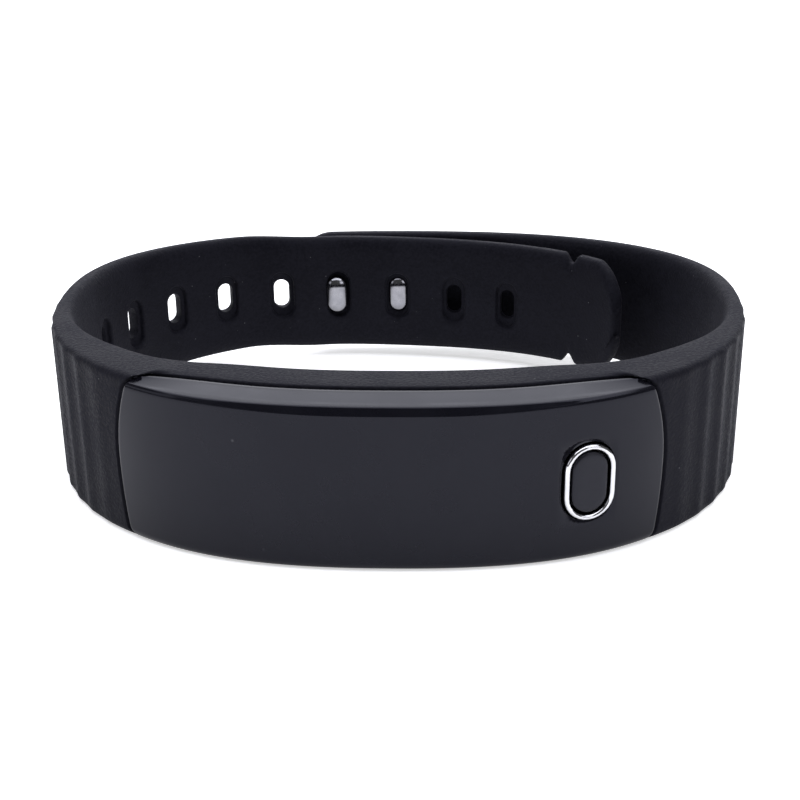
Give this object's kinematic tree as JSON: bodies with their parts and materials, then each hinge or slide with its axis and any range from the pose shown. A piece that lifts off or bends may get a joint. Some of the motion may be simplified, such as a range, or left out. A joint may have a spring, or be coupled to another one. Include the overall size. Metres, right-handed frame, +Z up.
{
  "type": "fitness tracker band",
  "caption": "Closed silicone wristband fitness tracker: curved gloss display cover, oval ringed button, fluted sides and a peg-and-hole clasp that peels open.",
  "frame": {"origin": "middle of the footprint of the closed band, on the surface that it stands on by its lower edge", "axes": "+X to the right across the loop's longer width when facing the display, +Y from the display to the clasp, +Z up along the band's width"},
  "size_m": [0.069, 0.0584, 0.016],
  "materials": {
    "silicone": "moulded silicone, fine matte texture",
    "cover_gloss": "polished tinted lens",
    "chrome": "bright chrome plate",
    "button_satin": "satin",
    "housing": "moulded, finely textured",
    "seal": "soft moulded rubber",
    "steel": "stamped stainless steel",
    "board": "solder-masked circuit board",
    "chip": "moulded chip package",
    "foil": "pressed foil and can",
    "screen": "dark display film",
    "gold": "gold plate"
  },
  "bodies": {
    "module_and_band": {"silicone_band": "silicone", "front_cover": "cover_gloss", "button_ring": "chrome", "rear_shell": "housing", "case_gasket": "seal", "button_seal": "seal", "battery_pad": "seal", "case_screw_1": "steel", "case_screw_2": "steel", "case_screw_3": "steel", "case_screw_4": "steel", "motor_can": "steel", "motor_base": "steel", "main_board": "board", "button_board": "board", "processor": "chip", "motion_sensor": "chip", "power_chip": "chip", "switch_body": "chip", "radio_module": "foil", "battery": "foil", "display_panel": "screen", "antenna": "gold", "charge_contact_1": "gold", "charge_contact_2": "gold"},
    "peg_strap_link": {"peg_strap_link": "silicone"},
    "peg_strap_end": {"peg_strap_end": "silicone", "clasp_plate": "steel", "peg_left": "chrome", "peg_right": "chrome"},
    "tail_strap": {"tail_strap": "silicone"},
    "button": {"button_cap": "button_satin", "switch_plunger": "foil"},
    "motor_weight": {"motor_weight": "steel"}
  },
  "joints": [
    {"name": "peg_strap_link_flex", "type": "hinge", "parent": "module_and_band", "child": "peg_strap_link", "pos_m": [0.01276, 0.02725, 0.008], "axis": [0, 0, -1], "range_deg": [0, 15], "stiffness_Nm_per_rad": 0.002},
    {"name": "peg_strap_end_flex", "type": "hinge", "parent": "peg_strap_link", "child": "peg_strap_end", "pos_m": [0.00447, 0.02834, 0.008], "axis": [0, 0, -1], "range_deg": [0, 25], "stiffness_Nm_per_rad": 0.002},
    {"name": "tail_flex", "type": "hinge", "parent": "module_and_band", "child": "tail_strap", "pos_m": [-0.01863, 0.02546, 0.008], "axis": [0, 0, -1], "range_deg": [0, 28], "stiffness_Nm_per_rad": 0.002},
    {"name": "button_press", "type": "slide", "parent": "module_and_band", "child": "button", "axis": [-0.3425, 0.9395, 0], "range_m": [0, 0.00035], "stiffness_N_per_m": 3000},
    {"name": "motor_spin", "type": "hinge", "parent": "module_and_band", "child": "motor_weight", "pos_m": [-0.01487, -0.02377, 0.008], "axis": [0.2952, 0.9554, 0], "continuous": true}
  ],
  "couplings": [
    {"joint": "peg_strap_link_flex", "follows": "peg_strap_end_flex", "ratio": 0.6}
  ]
}
